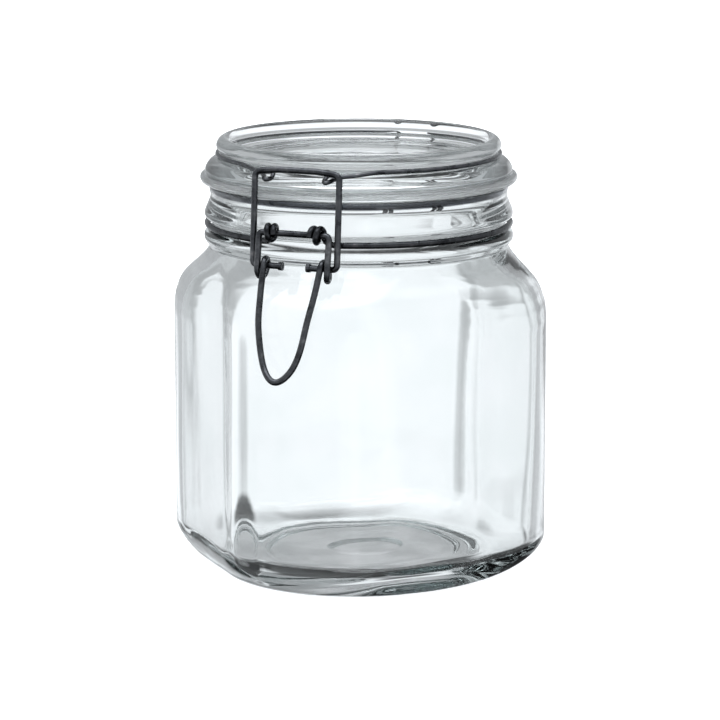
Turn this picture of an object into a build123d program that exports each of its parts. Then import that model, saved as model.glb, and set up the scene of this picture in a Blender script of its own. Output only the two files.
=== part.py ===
"""Bail clamp jar: rounded-square glass jar, glass lid, gasket and wire bail latch.

Millimetres, +Z up, base on z = 0, jar axis on x = y = 0.
The latch is on the -Y side, the lid hinge on the +Y side.
"""
import math
import os

from build123d import *

os.makedirs("parts", exist_ok=True)

# ---------------------------------------------------------------- body shape
corner_offset = 17.1          # corner arc centres sit this far out along x' and y'
corner_radius = 33.3          # outer corner arc radius of the body
base_radius = 39.5            # round bearing area under the body
heel_height = 12.1            # height of the rounded heel
heel_power = 1.25             # fullness of the heel curve
neck_radius = 44.4            # round neck under the bead
shoulder_full_z = 78.0        # body is full size below this
near_round = 0.15             # corner offset used where the section is round

inner_offset = 17.9           # inside corner arc centres
inner_radius = 28.9           # inside corner arc radius
inner_floor_z = 6.0           # inside floor
inner_floor_radius = 34.0     # round inside floor
inner_heel_height = 9.0       # inside heel
mouth_radius = 39.7           # bore of the neck and mouth
inner_drop = 1.2              # inside shoulder sits this much lower

rim_z = 117.0                 # top of the jar rim

# height and openness of the shoulder: 0 = round neck, 1 = full body section
shoulder = [
    (78.0, 1.0),
    (80.0, 0.985),
    (82.5, 0.955),
    (84.5, 0.90),
    (86.2, 0.848),
    (87.5, 0.786),
    (88.7, 0.714),
    (89.9, 0.62),
    (91.1, 0.51),
    (92.6, 0.37),
    (94.2, 0.235),
    (95.8, 0.115),
    (97.2, 0.035),
]

# ---------------------------------------------------------------- wires
wire_r = 0.93                 # neck band, link and lever wire
thin_r = 0.65                 # lid band wire
pin_gap = 0.08                # running fit at every wire hinge

neck_ring_r = 44.95           # neck band ring radius, wire centre
neck_ring_z = 104.7           # neck band height
lid_ring_r = 41.9             # lid band ring radius, wire centre
lid_ring_z = 125.4            # lid band height

pivot_out = 48.6              # lever pivot distance from the jar axis
pivot_z = 108.1               # lever pivot height
coil_x = 7.5                  # middle of each front coil
coil_pitch = 1.98             # one wire per turn
arm_x = 10.85                 # lever arms
handle_x = 8.8                # lever handle legs at the top
pin_out = 48.2                # link pin distance from the jar axis
pin_z = 98.5                  # link pin height
eye_drop = 1.4                # straight part of the lever eye
link_x = 13.05                # link legs
link_end_x = 4.2              # inner end of the link pins
bar_out = 46.2                # link top bar distance from the jar axis
bar_z = 125.3                 # link top bar height at its ends
bar_rise = 0.7                # arch of the link top bar

hinge_y = 50.2                # lid hinge axis behind the jar axis
hinge_z = 112.0               # lid hinge axis height
hinge_x = 8.8                 # rear eyes of the neck band
rear_leg_x = 6.25             # rear legs of the lid band


def bent_path(points, bend):
    """A line through the points with every corner rounded by the bend radius."""
    pts = [Vector(*p) for p in points]
    start = pts[0]
    for i in range(1, len(pts) - 1):
        a = (pts[i - 1] - pts[i]).normalized()
        b = (pts[i + 1] - pts[i]).normalized()
        half = math.acos(max(-1.0, min(1.0, a.dot(b)))) / 2
        radius = bend[i - 1] if isinstance(bend, (list, tuple)) else bend
        run = radius / math.tan(half)
        p1 = pts[i] + a * run
        p2 = pts[i] + b * run
        centre = pts[i] + (a + b).normalized() * (radius / math.sin(half))
        mid = centre + (pts[i] - centre).normalized() * radius
        if (p1 - start).length > 1e-4:
            Line(start, p1)
        ThreePointArc(p1, mid, p2)
        start = p2
    if (pts[-1] - start).length > 1e-4:
        Line(start, pts[-1])


# ================================================================ glass jar
with BuildPart() as glass_jar:
    # outside of the body, heel to neck
    for step in range(0, 91, 15):
        t = math.sin(math.radians(step)) ** heel_power
        z = heel_height * (1 - max(0.0, math.cos(math.radians(step))) ** heel_power)
        offset = near_round + (corner_offset - near_round) * t
        radius = base_radius + (corner_radius - base_radius) * t
        with BuildSketch(Plane.XY.offset(z)):
            RectangleRounded(2 * (offset + radius), 2 * (offset + radius), radius, rotation=45)
    for z in (20.0, 30.0, 42.0, 54.0, 64.0, 72.0):
        offset = corner_offset
        radius = corner_radius
        with BuildSketch(Plane.XY.offset(z)):
            RectangleRounded(2 * (offset + radius), 2 * (offset + radius), radius, rotation=45)
    for z, k in shoulder:
        offset = near_round + (corner_offset - near_round) * k
        radius = neck_radius + (corner_radius - neck_radius) * k
        with BuildSketch(Plane.XY.offset(z)):
            RectangleRounded(2 * (offset + radius), 2 * (offset + radius), radius, rotation=45)
    loft()

    # neck, bead, wire groove, collar and rim
    with BuildSketch(Plane.XZ):
        with BuildLine():
            Polyline((0, 88), (neck_radius - 0.1, 88), (neck_radius - 0.1, 97.6))
            Spline(
                (neck_radius - 0.1, 97.6), (45.0, 98.9), (45.95, 100.5), (45.7, 102.2),
                (44.35, 103.5), (43.82, 104.7), (44.35, 105.9), (45.7, 107.0),
                (45.75, 108.4), (44.9, 110.6), (44.1, 113.0), (44.45, 115.4),
                tangents=((0, 1), (0, 1)),
            )
            Line((44.45, 115.4), (44.45, 115.8))
            ThreePointArc((44.45, 115.8), (44.10, 116.65), (43.25, rim_z))
            Line((43.25, rim_z), (40.9, rim_z))
            ThreePointArc((40.9, rim_z), (40.05, 116.65), (mouth_radius, 115.8))
            Polyline((mouth_radius, 115.8), (mouth_radius, 110), (0, 110), (0, 88))
        make_face()
    revolve(axis=Axis.Z)

    # inside of the body
    with BuildPart(mode=Mode.SUBTRACT):
        for step in range(0, 91, 15):
            t = math.sin(math.radians(step))
            z = inner_floor_z + inner_heel_height * (1 - math.cos(math.radians(step)))
            offset = near_round + (inner_offset - near_round) * t
            radius = inner_floor_radius + (inner_radius - inner_floor_radius) * t
            with BuildSketch(Plane.XY.offset(z)):
                RectangleRounded(2 * (offset + radius), 2 * (offset + radius), radius, rotation=45)
        for z in (24.0, 34.0, 44.0, 54.0, 64.0, 71.0):
            offset = inner_offset
            radius = inner_radius
            with BuildSketch(Plane.XY.offset(z)):
                RectangleRounded(2 * (offset + radius), 2 * (offset + radius), radius, rotation=45)
        for z, k in shoulder:
            offset = near_round + (inner_offset - near_round) * k
            radius = mouth_radius + (inner_radius - mouth_radius) * k
            with BuildSketch(Plane.XY.offset(z - inner_drop)):
                RectangleRounded(2 * (offset + radius), 2 * (offset + radius), radius, rotation=45)
        loft()

    # bore of the neck and mouth
    with BuildSketch(Plane.XY.offset(90)):
        Circle(mouth_radius)
    extrude(amount=28, mode=Mode.SUBTRACT)

    # shallow push-up under the base with a stepped ring
    with BuildSketch(Plane.XZ):
        with BuildLine():
            Line((0, -1), (36.2, -1))
            Line((36.2, -1), (36.2, 0))
            Spline((36.2, 0), (35.2, 0.45), (33.6, 1.25), (32.4, 1.45), tangents=((-1, 0.1), (-1, 0)))
            Line((32.4, 1.45), (31.2, 1.45))
            Spline((31.2, 1.45), (29.8, 1.75), (22.0, 2.35), (11.2, 2.6), tangents=((-1, 0.6), (-1, 0)))
            Spline((11.2, 2.6), (9.6, 3.0), (0, 3.1), tangents=((-1, 0.5), (-1, 0)))
            Line((0, 3.1), (0, -1))
        make_face()
    revolve(axis=Axis.Z, mode=Mode.SUBTRACT)
glass_jar.part.label = "glass_jar"

# ================================================================ glass lid
with BuildPart() as glass_lid:
    with BuildSketch(Plane.XZ):
        with BuildLine():
            # recessed top
            Line((0, 124.7), (33.4, 124.7))
            Spline((33.4, 124.7), (36.6, 125.9), (37.6, 128.0), (38.5, 129.6), (39.9, 130.3),
                   tangents=((1, 0), (1, 0)))
            # rounded top bead and wire groove
            Spline((39.9, 130.3), (41.5, 129.6), (42.3, 128.0), (42.0, 126.9), (41.35, 126.2),
                   (41.1, 125.4), (41.5, 124.6), (42.6, 124.1), (43.9, 123.5), (45.1, 122.2),
                   (45.6, 120.9), tangents=((1, 0), (0, -1)))
            # flange edge
            Spline((45.6, 120.9), (45.3, 120.0), (44.5, 119.6), tangents=((0, -1), (-1, 0)))
            Line((44.5, 119.6), (38.7, 119.6))
            # plug
            Line((38.7, 119.6), (38.7, 116.2))
            ThreePointArc((38.7, 116.2), (38.38, 115.52), (37.7, 115.2))
            Line((37.7, 115.2), (36.0, 115.2))
            Spline((36.0, 115.2), (34.9, 116.0), (34.0, 118.4), (32.0, 119.5), tangents=((-1, 0), (-1, 0)))
            Line((32.0, 119.5), (0, 119.5))
            Line((0, 119.5), (0, 124.7))
        make_face()
    revolve(axis=Axis.Z)
glass_lid.part.label = "glass_lid"

# ================================================================ gasket
with BuildPart() as gasket:
    with BuildSketch(Plane.XZ):
        with BuildLine():
            Line((38.9, rim_z + 0.05), (46.2, rim_z + 0.05))
            Spline((46.2, rim_z + 0.05), (47.1, 118.3), (46.3, 119.6), tangents=((1, 0), (-1, 0)))
            Line((46.3, 119.6), (38.9, 119.6))
            Line((38.9, 119.6), (38.9, rim_z + 0.05))
        make_face()
    revolve(axis=Axis.Z)
gasket.part.label = "gasket"

# ================================================================ neck band
coil_r = 2 * wire_r + pin_gap             # coil round the lever pivot bar
eye_r = thin_r + wire_r + pin_gap         # rear eye round the hinge pin

with BuildPart() as neck_band:
    with BuildLine() as neck_half:
        # back of the ring
        a0 = math.radians(6.0)
        a1 = math.radians(17.5)
        ThreePointArc(
            (0, neck_ring_r, neck_ring_z),
            (neck_ring_r * math.sin(a0 / 2), neck_ring_r * math.cos(a0 / 2), neck_ring_z),
            (neck_ring_r * math.sin(a0), neck_ring_r * math.cos(a0), neck_ring_z),
        )
        # rear eye for the lid hinge pin
        turn_points = []
        for step in range(0, 7):
            angle = math.radians(180 - 45 * step)
            turn_points.append((hinge_x - 0.85 + 0.28 * step,
                                hinge_y + eye_r * math.cos(angle),
                                hinge_z + eye_r * math.sin(angle)))
        Spline(
            (neck_ring_r * math.sin(a0), neck_ring_r * math.cos(a0), neck_ring_z),
            (6.9, 45.2, neck_ring_z + 0.8),
            (7.7, 47.2, neck_ring_z + 3.4),
            (hinge_x - 0.87, hinge_y - eye_r - 0.1, hinge_z - 1.6),
            *turn_points,
            (hinge_x + 1.0, 48.6, hinge_z - 2.3),
            (10.2, 46.9, 107.4),
            (11.4, 44.6, neck_ring_z + 0.6),
            (neck_ring_r * math.sin(a1), neck_ring_r * math.cos(a1), neck_ring_z),
            tangents=((math.cos(a0), -math.sin(a0), 0), (math.cos(a1), -math.sin(a1), 0)),
            tangent_scalars=(1.0, 1.0),
        )
        # side of the ring
        a2 = math.radians(17.0)
        ThreePointArc(
            (neck_ring_r * math.sin(a1), neck_ring_r * math.cos(a1), neck_ring_z),
            (neck_ring_r, 0, neck_ring_z),
            (neck_ring_r * math.sin(a2), -neck_ring_r * math.cos(a2), neck_ring_z),
        )
        # up to the front coil and one and a half turns round the lever pivot
        coil_points = []
        for step in range(0, 13):
            angle = math.radians(45 * step)
            coil_points.append((coil_x + 1.0 - coil_pitch * 45 * step / 360,
                                -pivot_out + coil_r * math.cos(angle),
                                pivot_z + coil_r * math.sin(angle)))
        Spline(
            (neck_ring_r * math.sin(a2), -neck_ring_r * math.cos(a2), neck_ring_z),
            (10.7, -44.0, neck_ring_z + 0.1),
            (9.25, -45.6, neck_ring_z + 0.95),
            (coil_x + 1.08, -(pivot_out - coil_r) + 0.15, pivot_z - 1.2),
            *coil_points,
            tangents=((-math.cos(a2), -math.sin(a2), 0), (-0.16, 0, -1)),
            tangent_scalars=(1.0, 1.0),
        )
    with BuildSketch(Plane(origin=neck_half.line @ 0, z_dir=neck_half.line % 0)):
        Circle(wire_r)
    sweep(path=neck_half.line)
    mirror(about=Plane.YZ)
neck_band.part.label = "neck_band"

# ================================================================ lid band
ear_x = 9.3                   # ears that carry the link bar
ear_half = 0.95               # half the width of an ear
ear_z = 123.3                 # ear height under the bar

with BuildPart() as lid_band:
    with BuildLine() as lid_half:
        # hinge pin and rear leg
        b0 = math.radians(15.0)
        bent_path([
            (hinge_x + 2.3, hinge_y, hinge_z),
            (rear_leg_x, hinge_y, hinge_z),
            (rear_leg_x, 48.5, lid_ring_z - 0.6),
            (rear_leg_x, 44.4, lid_ring_z - 0.1),
        ], [1.3, 1.8])
        Spline(
            (rear_leg_x, 44.4, lid_ring_z - 0.1),
            (rear_leg_x + 1.3, 41.85, lid_ring_z),
            (lid_ring_r * math.sin(b0), lid_ring_r * math.cos(b0), lid_ring_z),
            tangents=((0, -1, 0.12), (math.cos(b0), -math.sin(b0), 0)),
            tangent_scalars=(1.0, 1.0),
        )
        # side of the ring
        b1 = math.radians(38.0)
        b2 = math.radians(9.8)
        ThreePointArc(
            (lid_ring_r * math.sin(b0), lid_ring_r * math.cos(b0), lid_ring_z),
            (lid_ring_r, 0, lid_ring_z),
            (lid_ring_r * math.sin(b1), -lid_ring_r * math.cos(b1), lid_ring_z),
        )
        # the wire leaves the groove in a straight dip to the ear under the link bar
        Spline(
            (lid_ring_r * math.sin(b1), -lid_ring_r * math.cos(b1), lid_ring_z),
            (19.5, -37.95, lid_ring_z - 0.2),
            (14.8, -41.65, lid_ring_z - 0.8),
            (11.2, -44.6, lid_ring_z - 1.35),
            (ear_x + ear_half, -46.3, ear_z + 0.15),
            (ear_x, -47.5, ear_z - 0.1),
            (ear_x - ear_half, -46.3, ear_z),
            (ear_x - ear_half, -44.2, lid_ring_z - 1.0),
            (ear_x - ear_half - 0.05, -42.3, lid_ring_z - 0.1),
            (lid_ring_r * math.sin(b2), -lid_ring_r * math.cos(b2), lid_ring_z),
            tangents=((-math.cos(b1), -math.sin(b1), 0), (-math.cos(b2), -math.sin(b2), 0)),
            tangent_scalars=(1.0, 1.0),
        )
        # front of the ring
        ThreePointArc(
            (lid_ring_r * math.sin(b2), -lid_ring_r * math.cos(b2), lid_ring_z),
            (lid_ring_r * math.sin(b2 / 2), -lid_ring_r * math.cos(b2 / 2), lid_ring_z),
            (0, -lid_ring_r, lid_ring_z),
        )
        # the other side is the mirror image
        mirror(about=Plane.YZ)
    lid_wire = lid_half.wires()[0]
    with BuildSketch(Plane(origin=lid_wire @ 0, z_dir=lid_wire % 0)):
        Circle(thin_r)
    sweep(path=lid_wire)
lid_band.part.label = "lid_band"

# ================================================================ link
with BuildPart() as link:
    with BuildLine() as link_path:
        half_run = 6.0
        bent_path([
            (-link_end_x, -pin_out, pin_z),
            (-link_x, -pin_out, pin_z),
            (-link_x, -bar_out, bar_z),
            (-half_run, -bar_out, bar_z + bar_rise),
            (half_run, -bar_out, bar_z + bar_rise),
            (link_x, -bar_out, bar_z),
            (link_x, -pin_out, pin_z),
            (link_end_x, -pin_out, pin_z),
        ], [1.4, 1.8, 12.0, 12.0, 1.8, 1.4])
    with BuildSketch(Plane(origin=link_path.line @ 0, z_dir=link_path.line % 0)):
        Circle(wire_r)
    sweep(path=link_path.line)
    # flattened pin ends
    for side in (-1, 1):
        with Locations((side * (link_end_x + 0.1), -pin_out, pin_z)):
            Cylinder(wire_r + 0.3, 1.1, rotation=(0, 90, 0))
link.part.label = "link"

# ================================================================ lever
lean = math.radians(25.0)                 # handle leg from vertical where it meets the eye
eye_low_z = pin_z - eye_drop

with BuildPart() as lever:
    leg_end = (handle_x,
               -pin_out - coil_r * math.cos(lean),
               pin_z + coil_r * math.sin(lean))
    with BuildLine() as lever_half:
        # handle, from the middle of the grip up to the eye
        Spline(
            (0, -62.6, 67.65),
            (3.17, -61.5, 69.5),
            (4.82, -60.25, 72.2),
            (6.34, -58.8, 77.2),
            (7.4, -57.3, 83.6),
            (8.1, -54.55, 89.6),
            (8.5, -52.45, 94.0),
            leg_end,
            tangents=((1, 0, 0), (0.08, math.sin(lean), math.cos(lean))),
            tangent_scalars=(1.0, 1.0),
        )
        # one turn round the link pin
        eye_points = []
        for step, angle in enumerate((60, 90, 135, 180)):
            turn = math.radians(angle)
            eye_points.append((handle_x + 0.10 + 0.15 * step,
                               -pin_out - coil_r * math.cos(turn),
                               pin_z + coil_r * math.sin(turn)))
        for step, angle in enumerate((180, 225, 270, 315, 360)):
            turn = math.radians(angle)
            eye_points.append((handle_x + 0.85 + 0.29 * step,
                               -pin_out - coil_r * math.cos(turn),
                               eye_low_z + coil_r * math.sin(turn)))
        Spline(
            leg_end,
            *eye_points,
            (arm_x, -pin_out - coil_r, pin_z + 0.2),
            tangents=((0.08, math.sin(lean), math.cos(lean)), (0, 0.12, 1)),
            tangent_scalars=(1.0, 1.0),
        )
        # arm and pivot bar
        bent_path([
            (arm_x, -pin_out - coil_r, pin_z + 0.2),
            (arm_x, -pivot_out, pivot_z),
            (0, -pivot_out, pivot_z),
        ], [1.2])
    with BuildSketch(Plane(origin=lever_half.line @ 0, z_dir=lever_half.line % 0)):
        Circle(wire_r)
    sweep(path=lever_half.line)
    mirror(about=Plane.YZ)
lever.part.label = "lever"

export_step(glass_jar.part, "parts/glass_jar.step")
export_step(glass_lid.part, "parts/glass_lid.step")
export_step(gasket.part, "parts/gasket.step")
export_step(neck_band.part, "parts/neck_band.step")
export_step(lid_band.part, "parts/lid_band.step")
export_step(link.part, "parts/link.step")
export_step(lever.part, "parts/lever.step")
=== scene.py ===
"""Bail clamp jar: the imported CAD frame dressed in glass, silicone and steel on a white floor."""
import math

import bpy
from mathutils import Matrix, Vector, noise


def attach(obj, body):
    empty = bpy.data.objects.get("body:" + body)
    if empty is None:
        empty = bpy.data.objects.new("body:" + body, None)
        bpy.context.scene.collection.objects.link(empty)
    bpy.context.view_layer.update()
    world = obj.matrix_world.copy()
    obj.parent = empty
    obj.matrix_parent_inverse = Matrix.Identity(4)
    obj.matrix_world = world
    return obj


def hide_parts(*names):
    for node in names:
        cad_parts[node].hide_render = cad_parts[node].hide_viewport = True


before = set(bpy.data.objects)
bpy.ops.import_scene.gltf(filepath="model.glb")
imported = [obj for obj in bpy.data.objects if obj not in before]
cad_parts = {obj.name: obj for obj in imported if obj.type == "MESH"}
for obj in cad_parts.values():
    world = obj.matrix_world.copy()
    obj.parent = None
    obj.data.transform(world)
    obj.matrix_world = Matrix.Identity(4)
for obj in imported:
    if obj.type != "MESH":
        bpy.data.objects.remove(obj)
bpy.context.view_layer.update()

MM = 0.001

# ---------------------------------------------------------------- camera
CAMERA_AZIMUTH = math.radians(22.3)
CAMERA_DISTANCE = 1.020
CAMERA_HEIGHT = 0.268
AIM_HEIGHT = 0.0625
AIM_RIGHT = 0.00036
LENS_MM = 173.4
SENSOR_MM = 36
CLIP_START, CLIP_END = 0.05, 30

view_back = Vector((math.sin(CAMERA_AZIMUTH), -math.cos(CAMERA_AZIMUTH), 0))
view_right = Vector((math.cos(CAMERA_AZIMUTH), math.sin(CAMERA_AZIMUTH), 0))
camera_data = bpy.data.cameras.new("camera")
camera_data.lens = LENS_MM
camera_data.sensor_width = SENSOR_MM
camera_data.clip_start = CLIP_START
camera_data.clip_end = CLIP_END
camera = bpy.data.objects.new("camera", camera_data)
bpy.context.scene.collection.objects.link(camera)
camera.location = view_back * CAMERA_DISTANCE + Vector((0, 0, CAMERA_HEIGHT))
aim = view_right * AIM_RIGHT + Vector((0, 0, AIM_HEIGHT))
camera.rotation_mode = "QUATERNION"
camera.rotation_quaternion = (aim - camera.location).to_track_quat("-Z", "Y")
bpy.context.scene.camera = camera


# ---------------------------------------------------------------- node helpers
class Nodes:
    """Short calls for building a node tree."""

    def __init__(self, tree):
        self.tree = tree
        tree.nodes.clear()

    def add(self, kind, **values):
        node = self.tree.nodes.new(kind)
        for key, value in values.items():
            setattr(node, key, value)
        return node

    def put(self, socket, value):
        """Link a socket into this one, or set it to a plain value."""
        if isinstance(value, bpy.types.NodeSocket):
            self.tree.links.new(value, socket)
        else:
            socket.default_value = value

    def math(self, operation, a, b=0.0):
        node = self.add("ShaderNodeMath", operation=operation)
        self.put(node.inputs[0], a)
        self.put(node.inputs[1], b)
        return node.outputs[0]

    def smooth(self, value, low, high, out_low=0.0, out_high=1.0):
        node = self.add("ShaderNodeMapRange", interpolation_type="SMOOTHSTEP")
        for name, v in (("Value", value), ("From Min", low), ("From Max", high),
                        ("To Min", out_low), ("To Max", out_high)):
            self.put(node.inputs[name], v)
        return node.outputs["Result"]

    def ramp(self, value, *stops):
        """Eased colours over a value; a stop is (position, grey level or colour)."""
        node = self.add("ShaderNodeValToRGB")
        ramp = node.color_ramp
        ramp.interpolation = "EASE"
        while len(ramp.elements) < len(stops):
            ramp.elements.new(0.5)
        for element, (position, tone) in zip(ramp.elements, stops):
            element.position = position
            colour = tone if isinstance(tone, tuple) else (tone, tone, tone)
            element.color = (*colour, 1)
        self.put(node.inputs["Fac"], value)
        return node.outputs["Color"]

    def mix(self, factor, a, b, kind="RGBA", **values):
        """Mix two colours (RGBA) or two numbers (FLOAT)."""
        node = self.add("ShaderNodeMix", data_type=kind, **values)
        first, second, result = {"FLOAT": (2, 3, 0), "RGBA": (6, 7, 2)}[kind]
        self.put(node.inputs[0], factor)
        self.put(node.inputs[first], a)
        self.put(node.inputs[second], b)
        return node.outputs[result]

    def noise(self, vector, scale, detail=2.0, roughness=0.5):
        node = self.add("ShaderNodeTexNoise")
        self.put(node.inputs["Vector"], vector)
        node.inputs["Scale"].default_value = scale
        node.inputs["Detail"].default_value = detail
        node.inputs["Roughness"].default_value = roughness
        return node.outputs["Fac"]

    def bump(self, height, strength, distance, normal=None):
        node = self.add("ShaderNodeBump")
        node.inputs["Strength"].default_value = strength
        node.inputs["Distance"].default_value = distance
        self.put(node.inputs["Height"], height)
        if normal is not None:
            self.put(node.inputs["Normal"], normal)
        return node.outputs["Normal"]

    def stretched(self, vector, scale):
        node = self.add("ShaderNodeMapping")
        self.put(node.inputs["Vector"], vector)
        node.inputs["Scale"].default_value = scale
        return node.outputs["Vector"]

    def heights(self, vector):
        """The Z of a vector."""
        node = self.add("ShaderNodeSeparateXYZ")
        self.put(node.inputs[0], vector)
        return node.outputs["Z"]

    def vectors(self, operation, vector, with_vector=None):
        """A Vector Math node on a vector and, if the operation takes one, a constant vector."""
        node = self.add("ShaderNodeVectorMath", operation=operation)
        self.put(node.inputs[0], vector)
        if with_vector is not None:
            node.inputs[1].default_value = with_vector
        return node


def new_material(name):
    material = bpy.data.materials.new(name)
    material.use_nodes = True
    nodes = Nodes(material.node_tree)
    shader = nodes.add("ShaderNodeBsdfPrincipled")
    output = nodes.add("ShaderNodeOutputMaterial")
    nodes.put(output.inputs["Surface"], shader.outputs["BSDF"])
    where = nodes.add("ShaderNodeTexCoord").outputs["Object"]
    return material, nodes, shader, output, where


# ---------------------------------------------------------------- materials
# noise scales are in cells per metre, bump distances and the rim's heights in metres
GLASS_IOR, GLASS_ROUGHNESS = 1.5, 0.012
GLASS_CLOUDS = (0.3, (0.965, 0.978, 0.975)), (0.7, (0.995, 1.0, 1.0))
STREAK_STRETCH = (1, 1, 0.22)
# painted shade: the gasket's shadow line, tinted into the rim's glass between these heights
RIM_LOW, RIM_HIGH, RIM_FADE = 0.1144, 0.1168, 0.0005
RIM_SHADE_GREY = (0.06, 0.065, 0.075, 1)
SILICONE_IOR, SILICONE_TRANSMISSION = 1.41, 0.88
SILICONE_CLOUDS = (0.25, (0.78, 0.80, 0.80)), (0.75, (0.93, 0.945, 0.945))
TARNISH = ((0.30, (0.05, 0.052, 0.058)), (0.55, (0.125, 0.13, 0.14)),
           (0.78, (0.30, 0.305, 0.315)))
GRAIN_DARK = 0.78


def glass_material(name, tint, density, ripple, painted_rim_shade=False):
    """Clear pressed glass: upright mould ripple, fine orange peel, thin grey-green body.

    The rim flag paints the gasket's shadow line into the glass between two heights.
    """
    material, nodes, shader, output, where = new_material(name)
    shader.inputs["Transmission Weight"].default_value = 1.0
    shader.inputs["IOR"].default_value = GLASS_IOR
    shader.inputs["Roughness"].default_value = GLASS_ROUGHNESS
    clear = nodes.ramp(nodes.noise(where, 55, 2), *GLASS_CLOUDS)
    # painted shade: a grey band in the rim's glass for the gasket's shadow line; it stays there
    # when the lid opens
    if painted_rim_shade:
        z = nodes.heights(where)
        band = nodes.math("MULTIPLY", nodes.smooth(z, RIM_LOW, RIM_LOW + RIM_FADE),
                          nodes.smooth(z, RIM_HIGH - RIM_FADE, RIM_HIGH, 1.0, 0.0))
        clear = nodes.mix(band, clear, RIM_SHADE_GREY)
    nodes.put(shader.inputs["Base Color"], clear)
    streaks = nodes.noise(nodes.stretched(where, STREAK_STRETCH), 75, 1.5)
    peel = nodes.noise(where, 620, 2)
    wavy = nodes.bump(streaks, ripple, 0.002)
    nodes.put(shader.inputs["Normal"], nodes.bump(peel, ripple * 0.5, 0.00012, wavy))
    absorb = nodes.add("ShaderNodeVolumeAbsorption")
    absorb.inputs["Color"].default_value = (*tint, 1)
    absorb.inputs["Density"].default_value = density
    nodes.put(output.inputs["Volume"], absorb.outputs["Volume"])
    return material


def silicone_material():
    """Milky translucent silicone with a soft sheen and faint flow marks."""
    material, nodes, shader, _, where = new_material("silicone")
    cloud = nodes.noise(where, 90, 3)
    nodes.put(shader.inputs["Base Color"], nodes.ramp(cloud, *SILICONE_CLOUDS))
    shader.inputs["Transmission Weight"].default_value = SILICONE_TRANSMISSION
    shader.inputs["IOR"].default_value = SILICONE_IOR
    sheen = nodes.smooth(nodes.noise(where, 300, 2), 0.3, 0.7, 0.12, 0.24)
    nodes.put(shader.inputs["Roughness"], sheen)
    nodes.put(shader.inputs["Normal"], nodes.bump(nodes.noise(where, 900, 2), 0.12, 0.0001))
    return material


def steel_material(name, tone):
    """Dark drawn steel wire: cloudy tarnish with brighter rubbed spots, and fine grain."""
    material, nodes, shader, _, where = new_material(name)
    shader.inputs["Metallic"].default_value = 1.0
    tarnish = nodes.noise(where, 210, 3, 0.6)
    grain = nodes.noise(where, 2600, 2)
    dark = nodes.ramp(tarnish, *TARNISH)
    # tone scales the whole colour; below 1 it paints shade over the wire
    speck = nodes.ramp(grain, (0.35, GRAIN_DARK * tone), (0.65, tone))
    nodes.put(shader.inputs["Base Color"], nodes.mix(1.0, dark, speck, blend_type="MULTIPLY"))
    nodes.put(shader.inputs["Roughness"], nodes.smooth(tarnish, 0.3, 0.75, 0.24, 0.42))
    nodes.put(shader.inputs["Normal"], nodes.bump(grain, 0.25, 0.00006))
    return material


jar_glass = glass_material("jar_glass", (0.55, 0.60, 0.60), 20, 0.05, painted_rim_shade=True)
lid_glass = glass_material("lid_glass", (0.52, 0.60, 0.60), 6, 0.04)
silicone = silicone_material()
steel = steel_material("steel_wire", 1.0)
# a darker copy of the steel: painted shade for the neck band in its groove under the glass bead
shaded_steel = steel_material("shaded_steel_wire", 0.65)

# ---------------------------------------------------------------- shape helpers
# shapes are in millimetres and degrees until ring() turns them into metres
AROUND = 240
ARC_STEPS = 5
WAVE_AROUND, WAVE_UP = 2.6, 0.022
STEEP_SIDE, SLOW_SIDE = (-21, -11), (0, 44)
CORNER_GLASS_END = (74, 92)


def smooth_path(points, steps):
    """Centripetal Catmull-Rom through the points."""
    path = [Vector(p) for p in points]
    ends = [path[0] * 2 - path[1]] + path + [path[-1] * 2 - path[-2]]
    out = []
    for i in range(1, len(ends) - 2):
        p0, p1, p2, p3 = ends[i - 1:i + 3]
        t0 = 0.0
        t1 = t0 + (p1 - p0).length ** 0.5
        t2 = t1 + (p2 - p1).length ** 0.5
        t3 = t2 + (p3 - p2).length ** 0.5
        for s in range(steps):
            t = t1 + (t2 - t1) * s / steps
            a1 = p0 * ((t1 - t) / (t1 - t0)) + p1 * ((t - t0) / (t1 - t0))
            a2 = p1 * ((t2 - t) / (t2 - t1)) + p2 * ((t - t1) / (t2 - t1))
            a3 = p2 * ((t3 - t) / (t3 - t2)) + p3 * ((t - t2) / (t3 - t2))
            b1 = a1 * ((t2 - t) / (t2 - t0)) + a2 * ((t - t0) / (t2 - t0))
            b2 = a2 * ((t3 - t) / (t3 - t1)) + a3 * ((t - t1) / (t3 - t1))
            out.append(b1 * ((t2 - t) / (t2 - t1)) + b2 * ((t - t1) / (t2 - t1)))
    out.append(path[-1])
    return out


def arc(centre, radius, start, end):
    """Points on part of a circle in the profile, both ends included."""
    out = []
    for s in range(ARC_STEPS + 1):
        a = math.radians(start + (end - start) * s / ARC_STEPS)
        out.append(Vector((centre[0] + radius * math.cos(a), centre[1] + radius * math.sin(a))))
    return out


def from_corner(angle):
    """The angle to the nearest corner of the body; the corners lie on the X and Y axes."""
    return (angle + math.pi / 4) % (math.pi / 2) - math.pi / 4


def square_reach(angle, offset, radius):
    """Distance from the axis to a rounded square whose corners lie on the X and Y axes."""
    turn = from_corner(angle)
    centre = offset * math.sqrt(2)
    edge = math.atan2(radius * math.sqrt(0.5), centre + radius * math.sqrt(0.5))
    if abs(turn) < edge:
        return centre * math.cos(turn) + math.sqrt(radius ** 2 - (centre * math.sin(turn)) ** 2)
    return (offset + radius) / math.cos(math.pi / 4 - abs(turn))


def ease(value, low, high):
    share = min(1.0, max(0.0, (value - low) / (high - low)))
    return share * share * (3 - 2 * share)


def corner_glass(angle):
    """The share of extra glass in the front and rear corners.

    It comes steeply on one side of the corner and dies out slowly on the other.
    """
    turn = math.degrees(from_corner(angle))
    return ease(turn, *STEEP_SIDE) * (1 - ease(turn, *SLOW_SIDE)) * math.sin(angle) ** 2


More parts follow.
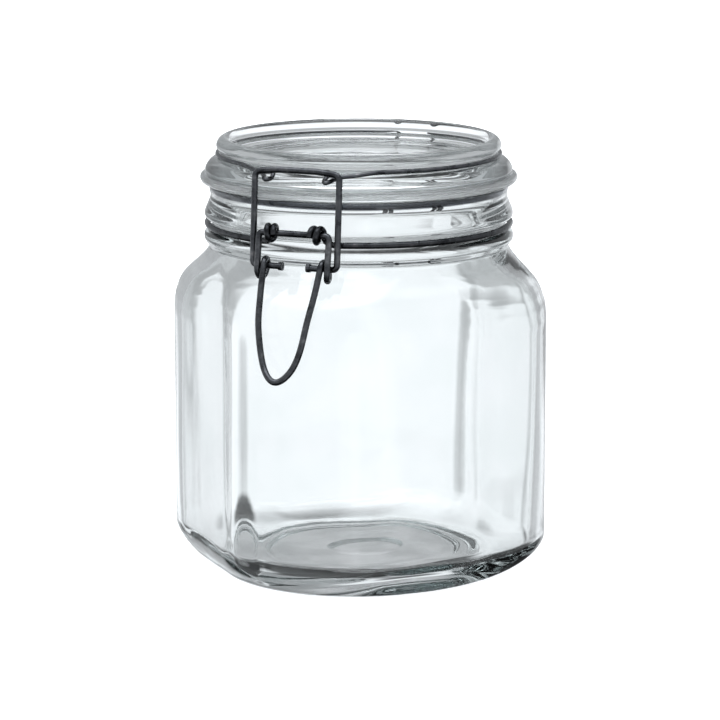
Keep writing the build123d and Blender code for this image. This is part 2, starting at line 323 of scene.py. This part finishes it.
def ring(z, offset, radius, wave=0.0, seed=0.0, thick=0.0):
    """One ring of points in metres.

    wave is the slow unevenness of the glass wall, thick the extra glass inside a corner.
    """
    out = []
    thick *= 1 - ease(z, *CORNER_GLASS_END)
    for i in range(AROUND):
        angle = 2 * math.pi * i / AROUND
        reach = square_reach(angle, offset, radius)
        if wave:
            place = Vector((math.cos(angle) * WAVE_AROUND, math.sin(angle) * WAVE_AROUND,
                            z * WAVE_UP + seed))
            reach += wave * noise.noise(place)
        reach -= thick * corner_glass(angle)
        out.append((reach * math.cos(angle) * MM, reach * math.sin(angle) * MM, z * MM))
    return out


def round_rings(profile):
    """Plain round rings through (radius, height) points."""
    return [ring(p.y, 0, p.x) for p in profile]


def level_points(radii, z):
    return [Vector((r, z)) for r in radii]


def upright_points(radius, heights):
    return [Vector((radius, z)) for z in heights]


def skin(name, rings, start=None, end=None, closed=False):
    """A mesh through the rings.

    start and end are the heights of the centre points that close it; a closed one has none.
    """
    points = [p for r in rings for p in r]
    faces = []
    count = len(rings)
    for k in range(count if closed else count - 1):
        a, b = k * AROUND, ((k + 1) % count) * AROUND
        for i in range(AROUND):
            j = (i + 1) % AROUND
            faces.append((a + i, a + j, b + j, b + i))
    if start is not None:
        points.append((0, 0, start * MM))
        centre = len(points) - 1
        faces += [(centre, (i + 1) % AROUND, i) for i in range(AROUND)]
    if end is not None:
        points.append((0, 0, end * MM))
        centre = len(points) - 1
        last = (count - 1) * AROUND
        faces += [(centre, last + i, last + (i + 1) % AROUND) for i in range(AROUND)]
    mesh = bpy.data.meshes.new(name)
    mesh.from_pydata(points, [], faces)
    mesh.validate()
    mesh.shade_smooth()
    piece = bpy.data.objects.new(name, mesh)
    bpy.context.scene.collection.objects.link(piece)
    return piece


# ---------------------------------------------------------------- glass jar
CORNER_OFFSET, CORNER_RADIUS, OUTER_WAVE = 17.1, 33.3, 0.08
INNER_OFFSET, INNER_RADIUS, INNER_WAVE, INNER_SEED = 17.9, 28.9, 0.5, 9.0
BASE_RADIUS, HEEL, HEEL_POWER = 39.5, 12.1, 1.25
NECK_RADIUS, MOUTH_RADIUS = 44.4, 39.7
INNER_FLOOR_Z, INNER_FLOOR_RADIUS, INNER_HEEL = 6.0, 35.0, 7.0
FLOOR_CROWN, FLOOR_CROWN_RADIUS = 0.25, 34
INNER_FLOOR_RINGS = (30.5, 26.0, 21.0, 15.0, 9.0, 4.0)
INNER_DROP = 1.8
CORNER_GLASS = 2.7
PUSH_UP = 3.3
# the underside's steps, from the middle outwards: (radius, height) points and their fineness
UNDERSIDE = [
    ([(0.8, 3.3), (4.5, 3.25), (9.2, 3.1), (11.2, 2.5)], 3),
    ([(12.0, 2.48), (22.0, 2.35), (28.6, 2.2), (30.2, 1.5)], 5),
    ([(30.8, 1.45), (32.2, 1.45), (33.4, 1.2), (35.2, 0.3), (36.2, 0.03)], 5),
]
BEARING_RING = (36.9, 38.4)
# (height, share of the body's rounded square that is left there)
SHOULDER = [
    (74.0, 1.0), (78.0, 1.0), (80.0, 0.985), (82.5, 0.955), (84.5, 0.90), (86.2, 0.848),
    (87.5, 0.786), (88.7, 0.714), (89.9, 0.62), (91.1, 0.51), (92.6, 0.37), (94.2, 0.235),
    (95.8, 0.115), (97.2, 0.035), (98.0, 0.0),
]
NECK = [
    (45.0, 98.9), (45.95, 100.5), (45.7, 102.2), (44.35, 103.5), (43.82, 104.7),
    (44.35, 105.9), (45.7, 107.0), (45.75, 108.4), (44.9, 110.6), (44.1, 113.0),
    (44.45, 115.4),
]
RIM_ROUND, RIM_OUTSIDE, RIM_INSIDE = 1.2, (43.25, 115.8), (40.9, 115.8)
MOUTH_HEIGHTS = (114.0, 111.0, 107.0, 103.0, 99.5)


def outer(z, share, round_radius):
    """A ring of the outside: round at share 0, the body's rounded square at share 1."""
    return ring(z, CORNER_OFFSET * share,
                round_radius + (CORNER_RADIUS - round_radius) * share, OUTER_WAVE * share)


def inner(z, share, round_radius):
    """The same for the inside, with the extra glass of the corners."""
    return ring(z, INNER_OFFSET * share,
                round_radius + (INNER_RADIUS - round_radius) * share, INNER_WAVE * share,
                INNER_SEED, CORNER_GLASS)


def shoulder_points():
    """(height, share) points of the shoulder, from the body up."""
    return [(p.x, min(1.0, max(0.0, p.y))) for p in smooth_path(SHOULDER, 3)]


def jar_rings():
    rings = []
    # underside: push-up with its steps, then the bearing ring
    for points, steps in UNDERSIDE:
        rings += round_rings(smooth_path(points, steps))
    rings += round_rings(level_points(BEARING_RING, 0))
    # outside: heel, straight body, shoulder
    for step in range(0, 91, 5):
        share = math.sin(math.radians(step)) ** HEEL_POWER
        z = HEEL * (1 - max(0.0, math.cos(math.radians(step))) ** HEEL_POWER)
        rings.append(outer(z, share, BASE_RADIUS))
    for z in range(16, 73, 4):
        rings.append(outer(z, 1, NECK_RADIUS))
    for z, share in shoulder_points():
        rings.append(outer(z, share, NECK_RADIUS))
    # outside: neck, bead, wire groove and collar, then over the rim and down the mouth
    rings += round_rings(smooth_path(NECK, 4))
    rings += round_rings(arc(RIM_OUTSIDE, RIM_ROUND, 0, 90))
    rings += round_rings(arc(RIM_INSIDE, RIM_ROUND, 90, 180))
    rings += round_rings(upright_points(MOUTH_RADIUS, MOUTH_HEIGHTS))
    # inside: shoulder, straight body, heel, floor
    for z, share in reversed(shoulder_points()):
        rings.append(inner(z - INNER_DROP, share, MOUTH_RADIUS))
    for z in range(70, 16, -4):
        rings.append(inner(z, 1, MOUTH_RADIUS))
    for step in range(90, -1, -6):
        share = math.sin(math.radians(step))
        z = INNER_FLOOR_Z + INNER_HEEL * (1 - math.cos(math.radians(step)))
        rings.append(inner(z, share, INNER_FLOOR_RADIUS))
    for r in INNER_FLOOR_RINGS:
        crown = FLOOR_CROWN * math.cos(r / FLOOR_CROWN_RADIUS * math.pi / 2)
        rings.append(ring(INNER_FLOOR_Z + crown, 0, r))
    return rings


jar = skin("jar_body_glass", jar_rings(), PUSH_UP, INNER_FLOOR_Z + FLOOR_CROWN)
jar.data.materials.append(jar_glass)
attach(jar, "jar")
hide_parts("glass_jar")

# ---------------------------------------------------------------- glass lid
LID_RECESS, LID_SEAT, PLUG_UNDER = 124.7, 119.65, 119.5
LID_OUTSIDE = [
    (33.0, LID_RECESS), (34.6, 124.95), (36.6, 125.9), (37.6, 128.0), (38.5, 129.6),
    (39.9, 130.3), (41.5, 129.6), (42.3, 128.0), (42.0, 126.9), (41.35, 126.2),
    (41.1, 125.4), (41.5, 124.6), (42.6, 124.1), (43.9, 123.5), (45.1, 122.2),
    (45.6, 120.9), (45.3, 120.0), (44.5, LID_SEAT),
]
PLUG_RADIUS, PLUG_HEIGHTS = 38.7, (119.2, 118.2, 117.0)
PLUG_EDGE, PLUG_EDGE_ROUND = (37.6, 116.3), 1.1
PLUG_INSIDE = [
    (37.0, 115.2), (36.0, 115.2), (34.9, 116.0), (34.0, 118.4), (32.0, PLUG_UNDER),
    (30.5, PLUG_UNDER),
]

lid_profile = level_points((6, 14, 22, 29), LID_RECESS)
lid_profile += smooth_path(LID_OUTSIDE, 4)
lid_profile += level_points((42.5, 40.3, 39.2), LID_SEAT)
lid_profile += upright_points(PLUG_RADIUS, PLUG_HEIGHTS)
lid_profile += arc(PLUG_EDGE, PLUG_EDGE_ROUND, 0, -90)
lid_profile += smooth_path(PLUG_INSIDE, 4)
lid_profile += level_points((24, 16, 8), PLUG_UNDER)
lid = skin("lid_glass_disc", round_rings(lid_profile), LID_RECESS, PLUG_UNDER)
lid.data.flip_normals()
lid.data.materials.append(lid_glass)
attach(lid, "lid")
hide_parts("glass_lid")

# ---------------------------------------------------------------- gasket
SEAL_UNDER, SEAL_TOP, SEAL_INSIDE = 117.08, 119.58, 38.95
SEAL_FLAT = (39.2, 41.0, 43.0, 45.0)
SEAL_EDGE = [
    (46.0, SEAL_UNDER), (46.7, 117.45), (47.08, 118.25), (46.9, 119.1), (46.2, 119.57),
]

seal_profile = level_points(SEAL_FLAT, SEAL_UNDER)
seal_profile += smooth_path(SEAL_EDGE, 4)
seal_profile += level_points(reversed(SEAL_FLAT), SEAL_TOP)
seal_profile += upright_points(SEAL_INSIDE, (119.3, 117.4))
seal = skin("seal_ring", round_rings(seal_profile), closed=True)
seal.data.materials.append(silicone)
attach(seal, "lid")
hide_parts("gasket")

# ---------------------------------------------------------------- wires
for node in ("neck_band", "lid_band", "link", "lever"):
    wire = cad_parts[node]
    wire.data.materials.clear()
    # the neck band, its coils too, gets the darker copy of the steel: painted shade
    wire.data.materials.append(shaded_steel if node == "neck_band" else steel)

# ---------------------------------------------------------------- floor
FLOOR_SIZE, FLOOR_Z, FLOOR_GLOW = 4.0, -0.0003, 0.8
# the painted shadow under the jar: its sheet, dark base colour and mottled grey glow
SHADE_RADIUS, SHADE_SIDES, SHADE_Z = 36.6 * MM, 64, -0.0001
SHADE_BASE = (0.06, 0.06, 0.06, 1)
SHADOW_MOTTLE = (0.38, (0.40, 0.41, 0.425)), (0.6, (0.57, 0.58, 0.60))
PAPER_ROUGHNESS = 0.9


def sheet(name, outline, z, material):
    """A flat one-face object on the floor."""
    mesh = bpy.data.meshes.new(name)
    mesh.from_pydata([(x, y, 0) for x, y in outline], [], [tuple(range(len(outline)))])
    mesh.materials.append(material)
    flat = bpy.data.objects.new(name, mesh)
    flat.location.z = z
    bpy.context.scene.collection.objects.link(flat)
    return flat


paper, nodes, shader, _, where = new_material("white_paper")
shader.inputs["Roughness"].default_value = PAPER_ROUGHNESS
shader.inputs["Emission Color"].default_value = (1, 1, 1, 1)
shader.inputs["Emission Strength"].default_value = FLOOR_GLOW
cloud = nodes.noise(where, 3, 2)
nodes.put(shader.inputs["Base Color"], nodes.ramp(cloud, (0.3, 0.93), (0.7, 0.95)))
corners = ((-1, -1), (1, -1), (1, 1), (-1, 1))
floor = sheet("floor", [(x * FLOOR_SIZE, y * FLOOR_SIZE) for x, y in corners], FLOOR_Z, paper)
floor.visible_transmission = False
floor.visible_glossy = False

# painted shadow: a dark sheet right under the jar, glowing in mottled grey, seen only through its
# base
shadow_paper, nodes, shader, _, where = new_material("painted_shadow_paper")
shader.inputs["Roughness"].default_value = PAPER_ROUGHNESS
shader.inputs["Base Color"].default_value = SHADE_BASE
nodes.put(shader.inputs["Emission Color"], nodes.ramp(nodes.noise(where, 60, 3), *SHADOW_MOTTLE))
shader.inputs["Emission Strength"].default_value = 1.0
turns = [2 * math.pi * i / SHADE_SIDES for i in range(SHADE_SIDES)]
circle = [(SHADE_RADIUS * math.cos(a), SHADE_RADIUS * math.sin(a)) for a in turns]
shade = sheet("floor_shade", circle, SHADE_Z, shadow_paper)

# ---------------------------------------------------------------- light
# The world is the only light. A bright card stands behind the jar for each side it is looked
# at from; a card is (bearing clockwise from +Y, height of its middle), all in degrees.
CARDS = ((-22.3, -11.4), (-45, -20), (135, -12), (-90, -3), (0, -3))
CARD_FULL, CARD_END, CARD_LEVEL = 7, 14, 1.17
CARD_DROP = 0.5
SIDE_LOW, SIDE_HIGH = (-30, 0.06), (5, 0.52)
BAND_DEPTH, BAND_FULL, BAND_END, BAND_LEVEL = 10.0, 5, 14, 0.58
DOME_START, DOME_FULL, DOME_LEVEL = 48, 62, 2.6
COOL_WHITE = (0.965, 0.998, 1.03)

world = bpy.data.worlds.new("studio")
bpy.context.scene.world = world
world.use_nodes = True
sky = Nodes(world.node_tree)
way = sky.add("ShaderNodeTexCoord").outputs["Generated"]
height = sky.math("MULTIPLY", sky.math("ARCSINE", sky.heights(way)), 180 / math.pi)
level = sky.vectors("MULTIPLY", way, (1, 1, 0))
level_way = sky.vectors("NORMALIZE", level.outputs["Vector"]).outputs["Vector"]


def card(bearing, middle):
    """1 inside a bright card, fading to 0 around it; below its middle it fades more slowly."""
    a = math.radians(bearing)
    facing = sky.vectors("DOT_PRODUCT", level_way, (math.sin(a), math.cos(a), 0))
    turn = sky.math("ARCCOSINE", facing.outputs["Value"])
    turn = sky.math("MULTIPLY", turn, 180 / math.pi)
    above = sky.math("SUBTRACT", height, middle)
    lift = sky.math("MAXIMUM", above, sky.math("MULTIPLY", above, -CARD_DROP))
    squares = sky.math("ADD", sky.math("POWER", turn, 2.0), sky.math("POWER", lift, 2.0))
    return sky.smooth(sky.math("SQRT", squares), CARD_FULL, CARD_END, 1.0, 0.0)


bright = 0.0
for bearing, middle in CARDS:
    bright = sky.math("MAXIMUM", bright, card(bearing, middle))
side = sky.smooth(height, SIDE_LOW[0], SIDE_HIGH[0], SIDE_LOW[1], SIDE_HIGH[1])
from_band = sky.math("ABSOLUTE", sky.math("ADD", height, BAND_DEPTH))
side = sky.mix(sky.smooth(from_band, BAND_FULL, BAND_END, 1.0, 0.0), side, BAND_LEVEL, "FLOAT")
lit = sky.mix(bright, side, CARD_LEVEL, "FLOAT")
dome = sky.mix(sky.smooth(height, DOME_START, DOME_FULL), lit, DOME_LEVEL, "FLOAT")
cool = sky.vectors("SCALE", COOL_WHITE)
sky.put(cool.inputs["Scale"], dome)
# the camera itself sees plain white behind the jar
seen = sky.add("ShaderNodeLightPath").outputs["Is Camera Ray"]
light = sky.mix(seen, cool.outputs["Vector"], (1.0, 1.0, 1.0, 1))
background = sky.add("ShaderNodeBackground")
sky.put(background.inputs["Color"], light)
world_output = sky.add("ShaderNodeOutputWorld")
sky.put(world_output.inputs["Surface"], background.outputs[0])

bpy.context.scene.view_settings.view_transform = "Standard"
# light may bounce often enough to get out of thick glass again
BOUNCES, GLOSSY_BOUNCES = 24, 16
paths = bpy.context.scene.cycles
paths.max_bounces = BOUNCES
paths.glossy_bounces = GLOSSY_BOUNCES
paths.transmission_bounces = BOUNCES
